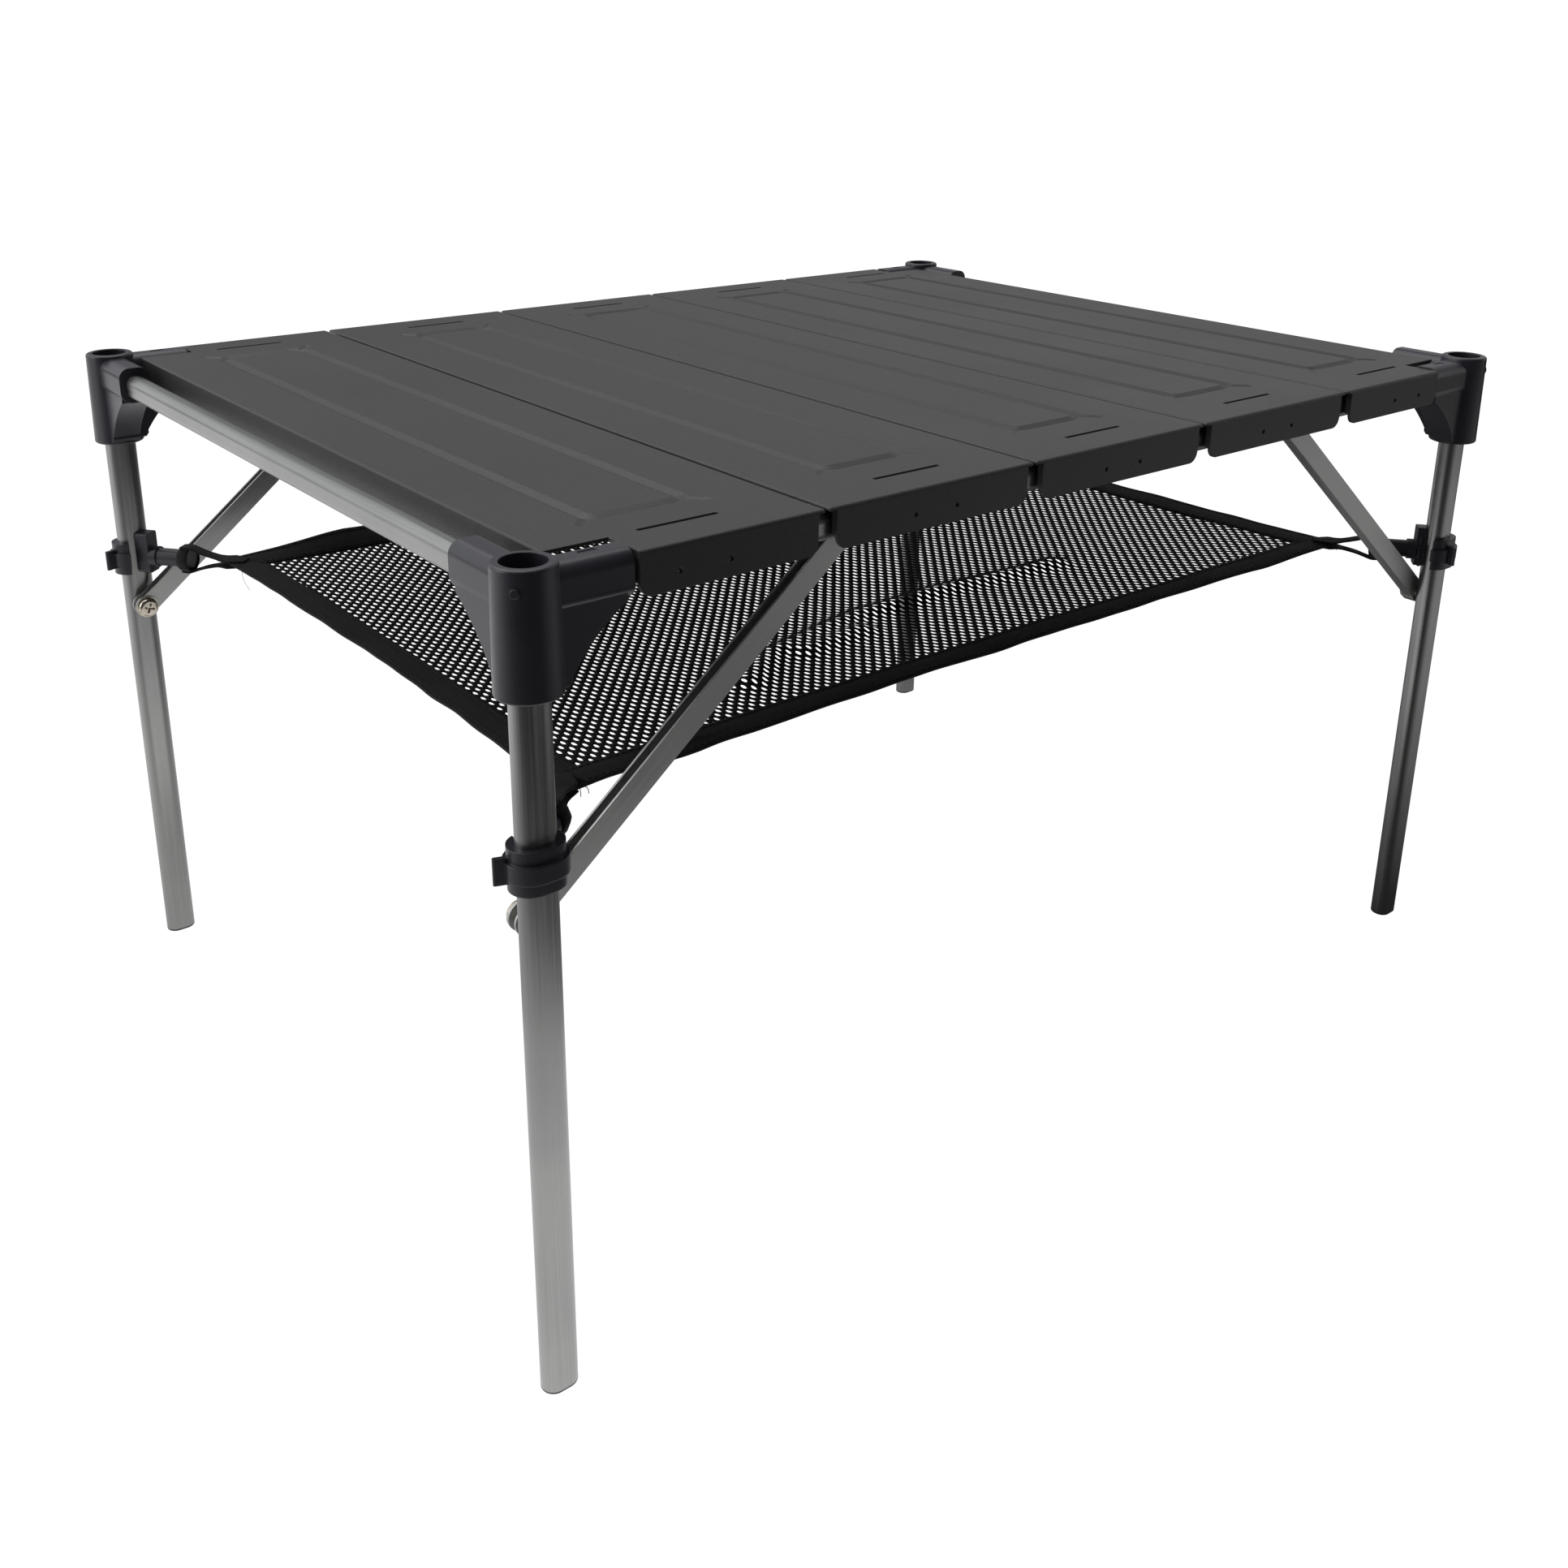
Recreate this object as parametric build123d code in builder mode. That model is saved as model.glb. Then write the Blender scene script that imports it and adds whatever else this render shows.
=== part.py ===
from build123d import *
import math
import os

# Low camp kitchen table: five pressed metal slats on a frame of four rails,
# plugged into four moulded corner connectors, with four legs, folding braces
# and a mesh storage net hung from clips on the legs.
# Millimetres. +Z is up, the floor is z = 0, X runs across the five slats.

os.makedirs("parts", exist_ok=True)

# ---- driving dimensions ----
LEG_SPACING_X = 680.0
LEG_SPACING_Y = 500.0
HEIGHT = 400.0
CX = -LEG_SPACING_X / 2
CY = -LEG_SPACING_Y / 2

SLAT_TOP_Z = 397.0
SHEET = 1.5
SLAT_COUNT = 5
SLAT_PITCH = 130.5
SLAT_GAP = 2.5
SLAT_FACE_Y = 260.0
FLANGE_BOTTOM_Z = 377.0
FLANGE_SETBACK = 4.0
FLANGE_CORNER_R = 6.0
FOLD_R = 1.6
SIDE_FOLD_R = 1.1
RIB_DEPTH = 14.0
RIB_END_Y = 243.0
FOOTING = 16.0
NOTCH_LENGTH = 46.5
NOTCH_END_Y = 237.0

RAIL_W = 11.0
RAIL_H = 13.5
RAIL_R = 4.5
RAIL_WALL = 1.5
RAIL_Z = 386.45

BARREL_R = 14.3
BARREL_BOTTOM_Z = 345.0
BARREL_TAPER = 0.9
ARM_LENGTH = 45.0
ARM_W = 18.0
ARM_H = 21.0
ARM_TOP_Z = 398.0
ARM_R = 6.5
GUSSET_T = 16.0
POLE_BORE_R = 9.75
POLE_BORE_FLOOR_Z = 379.0
LEG_STOP_Z = 377.0

LEG_W = 18.0
LEG_D = 13.0
LEG_WALL = 1.5
LEG_TOP_Z = 376.7
FOOT_H = 1.5

PIVOT_Z = 239.0
BRACE_ANGLE = 39.2
BRACE_LENGTH = 225.0
BRACE_H = 12.0
BRACE_T = 7.0
BRACE_WALL = 1.2
BRACE_GAP = 7.5
EYE_R = 7.0
SCREW_R = 2.5
SCREW_HEAD_R = 6.0

CLIP_Z = 270.0
CLIP_H = 20.0
CLIP_WALL = 3.6
SADDLE_H = 26.0
PEG_R = 5.6
PEG_FLANGE_R = 6.8
PEG_FLANGE_START = 37.0
PEG_END = 40.0

NET_X = 301.0
NET_Y = 203.5
NET_EDGE_BOW = 6.0
NET_HEM = 20.0
HEM_T = 3.0
NET_T = 1.2
NET_Z = 270.0

# horizontal run from the front-left leg's axis to the net's front-left corner
NET_RUN = (-NET_X - CX, -NET_Y - CY, 0)
NET_RUN_SIDE = (-NET_RUN[1], NET_RUN[0], 0)
ROOT2 = math.sqrt(2)


def save(solid, name):
    """Label one sub-part and write its STEP file."""
    solid.label = name
    export_step(solid, f"parts/{name}.step")


def save_four(solid, name):
    """Write a front-left sub-part and its mirror images at the other corners."""
    right = mirror(solid, about=Plane.YZ)
    save(solid, f"{name}_front_left")
    save(right, f"{name}_front_right")
    save(mirror(solid, about=Plane.XZ), f"{name}_rear_left")
    save(mirror(right, about=Plane.XZ), f"{name}_rear_right")


# ---- corner connector ----
def gusset_outline():
    """Side view of the web under a socket arm: distance from the leg axis, height."""
    with BuildLine() as line:
        Polyline((8, 350), (8, 382), (42, 382), (42, 376.8))
        ThreePointArc((42, 376.8), (27, 365), (15.6, 351))
        Polyline((15.6, 351), (15.6, 349), (14.0, 347), (8, 347), (8, 350))
    return line.line


with BuildPart() as connector:
    with BuildSketch(Plane.XY.offset(BARREL_BOTTOM_Z)):
        with Locations((CX, CY)):
            Circle(BARREL_R)
    extrude(amount=HEIGHT - BARREL_BOTTOM_Z, taper=BARREL_TAPER)
    fillet(connector.edges().group_by(Axis.Z)[-1], 1.4)
    fillet(connector.edges().group_by(Axis.Z)[0], 1.2)
    # socket arms along +X and +Y, their tops a little above the slats
    with BuildSketch(Plane.YZ.offset(CX)):
        with Locations((CY, ARM_TOP_Z - ARM_H / 2)):
            RectangleRounded(ARM_W, ARM_H, ARM_R)
    extrude(amount=ARM_LENGTH)
    with BuildSketch(Plane.XZ.offset(-CY)):
        with Locations((CX, ARM_TOP_Z - ARM_H / 2)):
            RectangleRounded(ARM_W, ARM_H, ARM_R)
    extrude(amount=-ARM_LENGTH)
    # gusset webs under both arms
    with BuildSketch(Plane((CX, CY, 0), x_dir=(1, 0, 0), z_dir=(0, -1, 0))):
        with BuildLine():
            add(gusset_outline())
        make_face()
    extrude(amount=GUSSET_T / 2, both=True)
    with BuildSketch(Plane((CX, CY, 0), x_dir=(0, 1, 0), z_dir=(1, 0, 0))):
        with BuildLine():
            add(gusset_outline())
        make_face()
    extrude(amount=GUSSET_T / 2, both=True)
    # moulded dot on the outer side of the barrel
    with BuildSketch(Plane((CX - 9.2, CY - 9.2, 391), z_dir=(-1, -1, 0))):
        Circle(1.9)
    extrude(amount=1.2)
    # leg socket from below and pole bore from above, with a stop between them
    with BuildSketch(Plane.XY.offset(BARREL_BOTTOM_Z - 1)):
        with Locations((CX, CY)):
            SlotOverall(LEG_W + 0.4, LEG_D + 0.4)
    extrude(amount=LEG_STOP_Z - BARREL_BOTTOM_Z + 1, mode=Mode.SUBTRACT)
    with BuildSketch(Plane.XY.offset(POLE_BORE_FLOOR_Z)):
        with Locations((CX, CY)):
            Circle(POLE_BORE_R)
    extrude(amount=HEIGHT - POLE_BORE_FLOOR_Z, mode=Mode.SUBTRACT)
    # rail pockets in the arms
    with BuildSketch(Plane.YZ.offset(CX + 16)):
        with Locations((CY, RAIL_Z)):
            RectangleRounded(RAIL_W + 0.2, RAIL_H + 0.2, RAIL_R + 0.1)
    extrude(amount=ARM_LENGTH - 16, mode=Mode.SUBTRACT)
    with BuildSketch(Plane.XZ.offset(-CY - 16)):
        with Locations((CX, RAIL_Z)):
            RectangleRounded(RAIL_W + 0.2, RAIL_H + 0.2, RAIL_R + 0.1)
    extrude(amount=-(ARM_LENGTH - 16), mode=Mode.SUBTRACT)
    # small sunk rectangle on the top of the X arm
    with BuildSketch(Plane.XY.offset(ARM_TOP_Z)):
        with Locations((CX + 29, CY)):
            RectangleRounded(9, 4, 1)
    extrude(amount=-0.4, mode=Mode.SUBTRACT)
save_four(connector.part, "connector")


# ---- rails ----
def rail(section_plane, length):
    """Hollow rail with rounded corners, starting on its section plane."""
    with BuildPart() as tube:
        with BuildSketch(section_plane):
            RectangleRounded(RAIL_W, RAIL_H, RAIL_R)
            RectangleRounded(
                RAIL_W - 2 * RAIL_WALL,
                RAIL_H - 2 * RAIL_WALL,
                RAIL_R - RAIL_WALL,
                mode=Mode.SUBTRACT,
            )
        extrude(amount=length)
    return tube.part


RAIL_INSET = 17.0
rail_x = rail(
    Plane((CX + RAIL_INSET, CY, RAIL_Z), x_dir=(0, 1, 0), z_dir=(1, 0, 0)),
    LEG_SPACING_X - 2 * RAIL_INSET,
)
rail_y = rail(
    Plane((CX, CY + RAIL_INSET, RAIL_Z), x_dir=(-1, 0, 0), z_dir=(0, 1, 0)),
    LEG_SPACING_Y - 2 * RAIL_INSET,
)
save(rail_x, "rail_front")
save(mirror(rail_x, about=Plane.XZ), "rail_rear")
save(rail_y, "rail_left")
save(mirror(rail_y, about=Plane.YZ), "rail_right")


# ---- table-top slats ----
# the bead round the middle of a slat: a soft groove along a rounded rectangle
BEAD_X = 25.5
BEAD_Y = 209.0
BEAD_HALF_W = 4.2
BEAD_DEPTH = 1.5
BEAD_CORNER_R = 7.0
BEAD_SLOPE = math.degrees(math.atan(BEAD_HALF_W / BEAD_DEPTH))
HORN_W = 5.6
HORN_DEPTH = 0.9
HORN_SLOPE = 71.0
HORN_LENGTH = 15.0
SLOT_Y = 236.0


def slat(index):
    """One pressed slat. The end slats are notched round the connectors."""
    middle = (index - (SLAT_COUNT - 1) / 2) * SLAT_PITCH
    width = SLAT_PITCH - SLAT_GAP
    left, right = middle - width / 2, middle + width / 2
    flange_left, flange_right = left + FLANGE_SETBACK, right - FLANGE_SETBACK
    notch_x = CX + NOTCH_LENGTH
    if index == 0:
        flange_left = notch_x
    if index == SLAT_COUNT - 1:
        flange_right = -notch_x
    flange_mid = (flange_left + flange_right) / 2
    flange_w = flange_right - flange_left
    with BuildPart() as part:
        with BuildSketch(Plane.XY.offset(SLAT_TOP_Z)):
            with Locations((middle, 0)):
                Rectangle(width, 2 * SLAT_FACE_Y)
            if index in (0, SLAT_COUNT - 1):
                side = -1 if index == 0 else 1
                notch_w = abs(side * width / 2 + middle) - abs(notch_x)
                with Locations(
                    (side * (abs(notch_x) + notch_w / 2), SLAT_FACE_Y),
                    (side * (abs(notch_x) + notch_w / 2), -SLAT_FACE_Y),
                ):
                    Rectangle(notch_w, 2 * (SLAT_FACE_Y - NOTCH_END_Y), mode=Mode.SUBTRACT)
        extrude(amount=-SHEET)
        # end flanges, turned down over the front and rear rails
        for end in (-1, 1):
            with BuildSketch(Plane.XZ.offset(-end * SLAT_FACE_Y)):
                with Locations((flange_mid, (SLAT_TOP_Z + FLANGE_BOTTOM_Z) / 2)):
                    Rectangle(flange_w, SLAT_TOP_Z - FLANGE_BOTTOM_Z)
            extrude(amount=end * SHEET)
        corners = part.edges().filter_by(Axis.Y).filter_by(
            lambda e: abs(e.center().Z - FLANGE_BOTTOM_Z) < 0.01
        )
        fillet(corners, FLANGE_CORNER_R)
        folds = part.edges().filter_by(Axis.X).filter_by(
            lambda e: abs(abs(e.center().Y) - SLAT_FACE_Y) < 0.01
            and abs(e.center().Z - SLAT_TOP_Z) < 0.01
        )
        fillet(folds, FOLD_R)
        sides = part.edges().filter_by(Axis.Y).filter_by(
            lambda e: abs(abs(e.center().X - middle) - width / 2) < 0.01
            and abs(e.center().Z - SLAT_TOP_Z) < 0.01
        )
        fillet(sides, SIDE_FOLD_R)
        # side ribs under the long edges
        for x, side in ((left, 1), (right, -1)):
            outer_notched = (index == 0 and side == 1) or (
                index == SLAT_COUNT - 1 and side == -1
            )
            end_y = NOTCH_END_Y - 1 if outer_notched else RIB_END_Y
            with BuildSketch(Plane.XY.offset(SLAT_TOP_Z - SHEET)):
                with Locations((x + side * SHEET / 2, 0)):
                    Rectangle(SHEET, 2 * end_y)
            extrude(amount=-(RIB_DEPTH - SHEET))
        # short returns on the end flanges, and shallow feet that stand on the rails
        rail_top = RAIL_Z + RAIL_H / 2
        for length, bottom in ((2.0, SLAT_TOP_Z - RIB_DEPTH), (FOOTING, rail_top + 0.3)):
            reach = SLAT_FACE_Y - SHEET - length / 2
            for x, side in ((flange_left, 1), (flange_right, -1)):
                with BuildSketch(Plane.XY.offset(SLAT_TOP_Z - 1)):
                    with Locations(
                        (x + side * SHEET / 2, reach),
                        (x + side * SHEET / 2, -reach),
                    ):
                        Rectangle(SHEET, length)
                extrude(amount=bottom - SLAT_TOP_Z + 1)
        # pressed bead, proud of the underside by as much as it is sunk in the top,
        # with a short crease running out from each of its corners
        for level, press, fill in (
            (SLAT_TOP_Z - SHEET, Mode.ADD, Mode.SUBTRACT),
            (SLAT_TOP_Z, Mode.SUBTRACT, Mode.ADD),
        ):
            for start, half_w, depth, mode in (
                (level, BEAD_HALF_W, -BEAD_DEPTH, press),
                (level - BEAD_DEPTH, 0, BEAD_DEPTH, fill),
            ):
                with BuildSketch(Plane.XY.offset(start)):
                    with Locations((middle, 0)):
                        RectangleRounded(
                            2 * (BEAD_X + half_w), 2 * (BEAD_Y + half_w), BEAD_CORNER_R + half_w
                        )
                extrude(amount=depth, taper=BEAD_SLOPE, mode=mode)
            for sx, sy in ((-1, -1), (-1, 1), (1, -1), (1, 1)):
                reach = HORN_LENGTH / 2 / ROOT2 - 2
                at = (middle + sx * (BEAD_X + reach), sy * (BEAD_Y + reach), 0)
                with BuildSketch(Plane.XY.offset(level)):
                    with Locations(Location(at, (0, 0, sx * sy * 45))):
                        SlotOverall(HORN_LENGTH, HORN_W)
                extrude(amount=-HORN_DEPTH, taper=HORN_SLOPE, mode=press)
        # strap slot near each end, two small holes in each end flange
        with BuildSketch(Plane.XY.offset(SLAT_TOP_Z)):
            with Locations((middle + 3, SLOT_Y), (middle + 3, -SLOT_Y)):
                SlotOverall(42, 2.6)
        extrude(amount=-SHEET, mode=Mode.SUBTRACT)
        with BuildSketch(Plane.XZ.offset(-SLAT_FACE_Y - 1)):
            with Locations((middle - 13, 385), (middle + 13, 385)):
                Circle(1.2)
        extrude(amount=2 * SLAT_FACE_Y + 2, mode=Mode.SUBTRACT)
    return part.part


for number in range(SLAT_COUNT):
    save(slat(number), f"slat_{number + 1}")


# ---- legs and foot plugs ----
with BuildPart() as leg:
    with BuildSketch(Plane.XY.offset(FOOT_H)):
        with Locations((CX, CY)):
            SlotOverall(LEG_W, LEG_D)
            SlotOverall(LEG_W - 2 * LEG_WALL, LEG_D - 2 * LEG_WALL, mode=Mode.SUBTRACT)
    extrude(amount=LEG_TOP_Z - FOOT_H)
    with BuildSketch(Plane((CX, CY, PIVOT_Z), z_dir=(0, 1, 0))):
        Circle(SCREW_R)
    extrude(amount=LEG_D, mode=Mode.SUBTRACT)
save_four(leg.part, "leg")

with BuildPart() as foot:
    with BuildSketch(Plane.XY):
        with Locations((CX, CY)):
            SlotOverall(LEG_W, LEG_D)
    extrude(amount=FOOT_H)
    fillet(foot.edges().group_by(Axis.Z)[0], 1.0)
    with BuildSketch(Plane.XY.offset(FOOT_H)):
        with Locations((CX, CY)):
            SlotOverall(LEG_W - 2 * LEG_WALL - 0.2, LEG_D - 2 * LEG_WALL - 0.2)
    extrude(amount=13)
save_four(foot.part, "foot_plug")

# ---- folding braces: channel, open on the upper side ----
tilt = math.radians(BRACE_ANGLE)
brace_plane = Plane(
    (CX, CY + BRACE_GAP, PIVOT_Z),
    x_dir=(math.cos(tilt), 0, math.sin(tilt)),
    z_dir=(0, -1, 0),
)
with BuildPart() as brace:
    with BuildSketch(brace_plane):
        with Locations(((BRACE_LENGTH - BRACE_H / 2) / 2, 0)):
            SlotCenterToCenter(BRACE_LENGTH - BRACE_H / 2, BRACE_H)
        Circle(EYE_R)
    extrude(amount=-BRACE_T)
    with BuildSketch(brace_plane.offset(-BRACE_WALL)):
        with Locations((BRACE_LENGTH / 2, BRACE_WALL + 2)):
            Rectangle(BRACE_LENGTH + 40, BRACE_H + 4)
    extrude(amount=-(BRACE_T - 2 * BRACE_WALL), mode=Mode.SUBTRACT)
    with BuildSketch(brace_plane):
        Circle(SCREW_R + 0.08)
    extrude(amount=-BRACE_T, mode=Mode.SUBTRACT)
save_four(brace.part, "brace")

# ---- pivot screws and spacer washers ----
screw_plane = Plane((CX, CY, PIVOT_Z), x_dir=(1, 0, 0), z_dir=(0, 1, 0))
HEAD_Y = 15.5
with BuildPart() as screw:
    with BuildSketch(screw_plane.offset(4)):
        Circle(SCREW_R)
    extrude(amount=HEAD_Y - 4)
    with BuildSketch(screw_plane.offset(HEAD_Y)):
        Circle(SCREW_HEAD_R)
    extrude(amount=3)
    fillet(screw.edges().group_by(Axis.Y)[-1], 2.0)
    for turn in (0, 90):
        with BuildSketch(screw_plane.offset(HEAD_Y + 3)):
            with Locations(Location((0, 0, 0), (0, 0, turn + 20))):
                Rectangle(6.4, 1.3)
        extrude(amount=-1.6, mode=Mode.SUBTRACT)
save_four(screw.part, "pivot_screw")

with BuildPart() as washers:
    with BuildSketch(screw_plane.offset(LEG_D / 2)):
        Circle(5.0)
        Circle(SCREW_R, mode=Mode.SUBTRACT)
    extrude(amount=0.8)
    with BuildSketch(screw_plane.offset(HEAD_Y - 0.8)):
        Circle(6.8)
        Circle(SCREW_R, mode=Mode.SUBTRACT)
    extrude(amount=0.8)
save_four(washers.part, "pivot_washers")


# ---- net clips ----
def net_clip(opens_along_y):
    """Open ring round the front-left leg, with a peg pointing at the net's corner."""
    with BuildPart() as clip:
        with BuildSketch(Plane.XY.offset(CLIP_Z - CLIP_H / 2)):
            with Locations((CX, CY)):
                SlotOverall(LEG_W + 2 * CLIP_WALL, LEG_D + 2 * CLIP_WALL)
        extrude(amount=CLIP_H)
        with BuildSketch(Plane.XY.offset(CLIP_Z - 4)):
            with Locations((CX, CY)):
                SlotOverall(LEG_W + 2 * CLIP_WALL + 3.2, LEG_D + 2 * CLIP_WALL + 3.2)
        extrude(amount=8)
        # mouth of the ring and the flared lip beside it
        with BuildSketch(Plane.XY.offset(CLIP_Z - CLIP_H)):
            if opens_along_y:
                with Locations((CX, CY + 10)):
                    Rectangle(11, 20)
            else:
                with Locations((CX + 10, CY)):
                    Rectangle(20, 8)
        extrude(amount=2 * CLIP_H, mode=Mode.SUBTRACT)
        with BuildSketch(Plane.XY.offset(CLIP_Z - 6)):
            if opens_along_y:
                with Locations(Location((CX - 14.5, CY + 2.5, 0), (0, 0, -20))):
                    RectangleRounded(8, 2.4, 1)
            else:
                with Locations(Location((CX + 2.5, CY - 12.0, 0), (0, 0, -70))):
                    RectangleRounded(8, 2.4, 1)
        extrude(amount=12)
        # block and peg on the corner that faces the net
        toward_net = Plane((CX, CY, CLIP_Z), x_dir=NET_RUN_SIDE, z_dir=NET_RUN)
        with BuildSketch(toward_net.offset(5.5)):
            with Locations((0, (SADDLE_H - CLIP_H) / 2)):
                RectangleRounded(11, SADDLE_H, 2)
        extrude(amount=8)
        for start, end, radius in (
            (12, PEG_END, PEG_R),
            (13, 18, PEG_R + 1),
            (PEG_FLANGE_START, PEG_END, PEG_FLANGE_R),
        ):
            with BuildSketch(toward_net.offset(start)):
                Circle(radius)
            extrude(amount=end - start)
        with BuildSketch(Plane.XY.offset(CLIP_Z - CLIP_H)):
            with Locations((CX, CY)):
                SlotOverall(LEG_W + 0.1, LEG_D + 0.1)
        extrude(amount=2 * CLIP_H, mode=Mode.SUBTRACT)
    return clip.part


clip_left = net_clip(opens_along_y=True)
clip_right = mirror(net_clip(opens_along_y=False), about=Plane.YZ)
save(clip_left, "net_clip_front_left")
save(mirror(clip_left, about=Plane.XZ), "net_clip_rear_left")
save(clip_right, "net_clip_front_right")
save(mirror(clip_right, about=Plane.XZ), "net_clip_rear_right")


# ---- storage net, its hem and its corner loops ----
def net_outline():
    """Four slightly hollow edges between the net's corners."""
    with BuildLine() as line:
        ThreePointArc((-NET_X, -NET_Y), (0, NET_EDGE_BOW - NET_Y), (NET_X, -NET_Y))
        ThreePointArc((NET_X, -NET_Y), (NET_X - NET_EDGE_BOW, 0), (NET_X, NET_Y))
        ThreePointArc((NET_X, NET_Y), (0, NET_Y - NET_EDGE_BOW), (-NET_X, NET_Y))
        ThreePointArc((-NET_X, NET_Y), (NET_EDGE_BOW - NET_X, 0), (-NET_X, -NET_Y))
    return line.line


with BuildPart() as hem:
    with BuildSketch(Plane.XY.offset(NET_Z - HEM_T / 2)):
        with BuildLine():
            add(net_outline())
        face = make_face()
        offset(amount=-NET_HEM, kind=Kind.INTERSECTION, mode=Mode.SUBTRACT)
    extrude(amount=HEM_T)
save(hem.part, "net_hem")

with BuildPart() as net:
    with BuildSketch(Plane.XY.offset(NET_Z - NET_T / 2)):
        with BuildLine():
            add(net_outline())
        make_face()
        offset(amount=-NET_HEM, kind=Kind.INTERSECTION, mode=Mode.REPLACE)
    extrude(amount=NET_T)
save(net.part, "storage_net")

LOOP_W = 8.0
LOOP_T = 1.3
LOOP_GAP = 0.4
LOOP_START = 33.0
LOOP_FORK = PEG_END + 1.0
LOOP_TIP = math.hypot(*NET_RUN[:2]) - 0.3
over_neck = PEG_R + LOOP_GAP
over_flange = PEG_FLANGE_R + LOOP_GAP
loop_plane = Plane((CX, CY, NET_Z), x_dir=NET_RUN, z_dir=(NET_RUN[1], -NET_RUN[0], 0))
with BuildPart() as loop:
    # band round the peg's end, caught behind its flange
    with BuildSketch(loop_plane):
        with BuildLine():
            Polyline(
                (LOOP_START, over_neck),
                (LOOP_START, over_neck + LOOP_T),
                (PEG_FLANGE_START - 1.2, over_flange + LOOP_T),
                (LOOP_FORK, over_flange + LOOP_T),
                (LOOP_FORK, over_flange),
                (PEG_FLANGE_START - 0.6, over_flange),
                (PEG_FLANGE_START - 0.6, over_neck),
                close=True,
            )
        make_face()
    revolve(axis=Axis((CX, CY, NET_Z), NET_RUN), revolution_arc=360)
    # upper and lower strands, meeting at the net's corner
    for updown in (1, -1):
        with BuildSketch(loop_plane):
            with BuildLine():
                Polyline(
                    (LOOP_FORK - 2, updown * (over_flange + 0.1)),
                    (LOOP_FORK - 2, updown * (over_flange + LOOP_T)),
                    (LOOP_FORK, updown * (over_flange + LOOP_T)),
                    (LOOP_TIP - 4.4, updown * LOOP_T),
                    (LOOP_TIP, updown * LOOP_T),
                    (LOOP_TIP, 0),
                    (LOOP_TIP - 5.4, 0),
                    (LOOP_FORK, updown * over_flange),
                    close=True,
                )
            make_face()
        extrude(amount=LOOP_W / 2, both=True)
save_four(loop.part, "net_loop")
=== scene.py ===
import math
import random

import bpy
from mathutils import Matrix, Vector, noise


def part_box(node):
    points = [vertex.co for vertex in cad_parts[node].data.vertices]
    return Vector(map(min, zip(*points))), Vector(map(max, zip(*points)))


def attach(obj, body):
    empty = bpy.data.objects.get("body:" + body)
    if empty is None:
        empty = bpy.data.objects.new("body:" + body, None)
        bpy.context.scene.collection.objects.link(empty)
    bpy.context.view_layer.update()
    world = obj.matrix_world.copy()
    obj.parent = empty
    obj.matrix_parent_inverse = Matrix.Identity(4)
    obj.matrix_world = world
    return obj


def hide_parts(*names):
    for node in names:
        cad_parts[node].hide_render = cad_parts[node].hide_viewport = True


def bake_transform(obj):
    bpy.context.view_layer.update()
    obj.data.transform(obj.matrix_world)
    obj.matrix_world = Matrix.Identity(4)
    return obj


# Camp kitchen table: materials for the CAD parts, a storage net of real mesh with
# its binding and stitching, and webbing loops that hold it to the leg clips.
# Metres, in the CAD frame: +Z up, floor at z = 0, X across the five slats.

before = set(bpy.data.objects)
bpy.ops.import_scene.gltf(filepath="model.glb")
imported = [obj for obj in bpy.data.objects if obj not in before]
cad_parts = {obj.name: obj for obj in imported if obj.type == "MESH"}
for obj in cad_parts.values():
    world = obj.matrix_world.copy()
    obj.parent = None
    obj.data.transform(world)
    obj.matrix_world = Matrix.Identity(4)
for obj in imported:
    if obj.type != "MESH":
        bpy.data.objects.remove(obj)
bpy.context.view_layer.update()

CORNERS = {
    "front_left": (-1, -1),
    "front_right": (1, -1),
    "rear_left": (-1, 1),
    "rear_right": (1, 1),
}


# ---- camera, floor and light ----
# half the floor's side, and the strength of the white that the eye sees
FLOOR_SIZE = 12
SEEN_WHITE = 1.05
# what the floor and the sky give to light and reflections: place or direction, strength,
# and the distance or cosine at which it is full and at which it has faded out
FLOOR_DIM = 0.04
FLOOR_GLOWS = (
    ((-1.0, 1.5, 0), 1.08, 0.9, 2.2),
    ((-0.34, -0.28, 0), 3.0, 0.08, 0.34),
    ((1.0, -1.05, 0), 0.50, 0.45, 1.0),
)
SKY_DIM = 0.07
SKY_GLOWS = (
    ((-0.60, 0.74, 0.30), 1.0, 0.95, 0.55),
    ((0.86, 0.36, 0.36), 0.40, 0.95, 0.55),
)


def add_camera():
    """Camera near the front-left corner, looking down over the table top."""
    turn, rise, roll = math.radians(-38.93), math.radians(18.8), math.radians(0.63)
    back = Vector(
        (math.sin(turn) * math.cos(rise), -math.cos(turn) * math.cos(rise), math.sin(rise))
    )
    right = (-back).cross(Vector((0, 0, 1))).normalized()
    up = right.cross(-back)
    rolled_right = math.cos(roll) * right + math.sin(roll) * up
    rolled_up = math.cos(roll) * up - math.sin(roll) * right
    data = bpy.data.cameras.new("camera")
    data.lens = 36.91
    data.sensor_width = 36
    data.shift_y = -0.1377
    data.clip_start = 0.01
    camera = bpy.data.objects.new("camera", data)
    bpy.context.scene.collection.objects.link(camera)
    axes = Matrix((rolled_right, rolled_up, back)).transposed()
    camera.matrix_world = Matrix.Translation((-0.628, -0.765, 0.596)) @ axes.to_4x4()
    bpy.context.scene.camera = camera


def add_mesh(name, points, faces, smooth=True):
    """New mesh object, smooth shaded."""
    mesh = bpy.data.meshes.new(name)
    mesh.from_pydata(points, [], faces)
    mesh.update()
    for polygon in mesh.polygons:
        polygon.use_smooth = smooth
    obj = bpy.data.objects.new(name, mesh)
    bpy.context.scene.collection.objects.link(obj)
    return obj


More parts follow.
